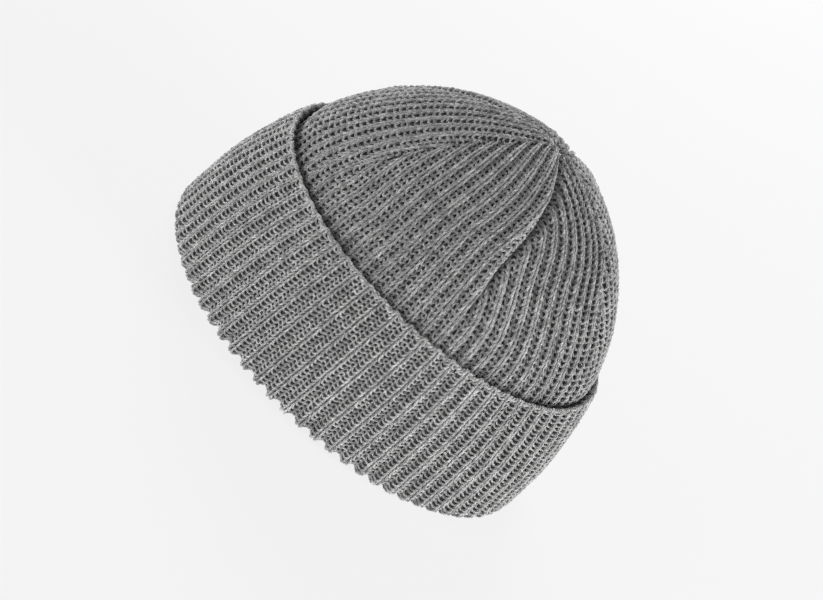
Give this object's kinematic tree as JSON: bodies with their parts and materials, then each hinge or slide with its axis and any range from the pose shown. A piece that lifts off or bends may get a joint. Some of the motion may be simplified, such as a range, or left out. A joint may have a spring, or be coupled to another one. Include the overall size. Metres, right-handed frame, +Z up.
{
  "type": "knit beanie",
  "caption": "Ribbed knit beanie in heather grey with a deep turned-up cuff and a gored crown that narrows to a gathered closure.",
  "frame": {"origin": "centre of the flat underside of the brim, which the hat rests on", "axes": "+Z up through the top of the crown, +X to the right of the front crown gore, -Y towards the front"},
  "size_m": [0.2015, 0.2014, 0.1415],
  "materials": {
    "rib_knit": "heather grey yarn in 1x1 rib, matt and slightly hairy",
    "linking_yarn": "matt grey linking yarn",
    "label_tape": "plain woven polyester tape, soft satin",
    "label_thread": "fine polyester thread"
  },
  "bodies": {
    "cuff": {"brim_fold": "rib_knit", "cuff_band": "rib_knit", "cuff_hem": "rib_knit", "cuff_back_seam": "linking_yarn"},
    "crown": {"head_band": "rib_knit", "crown_gore_right_rear": "rib_knit", "crown_gore_rear": "rib_knit", "crown_gore_left_rear": "rib_knit", "crown_gore_left_front": "rib_knit", "crown_gore_front": "rib_knit", "crown_gore_right_front": "rib_knit", "crown_seam_1": "linking_yarn", "crown_seam_2": "linking_yarn", "crown_seam_3": "linking_yarn", "crown_seam_4": "linking_yarn", "crown_seam_5": "linking_yarn", "crown_seam_6": "linking_yarn", "crown_closure": "linking_yarn", "closure_knot": "linking_yarn", "back_seam": "linking_yarn", "care_label": "label_tape", "label_stitching": "label_thread"}
  },
  "joints": [
    {"name": "crown_lift", "type": "slide", "parent": "cuff", "child": "crown", "axis": [0, 0, 1], "range_m": [0, 0.06]}
  ]
}
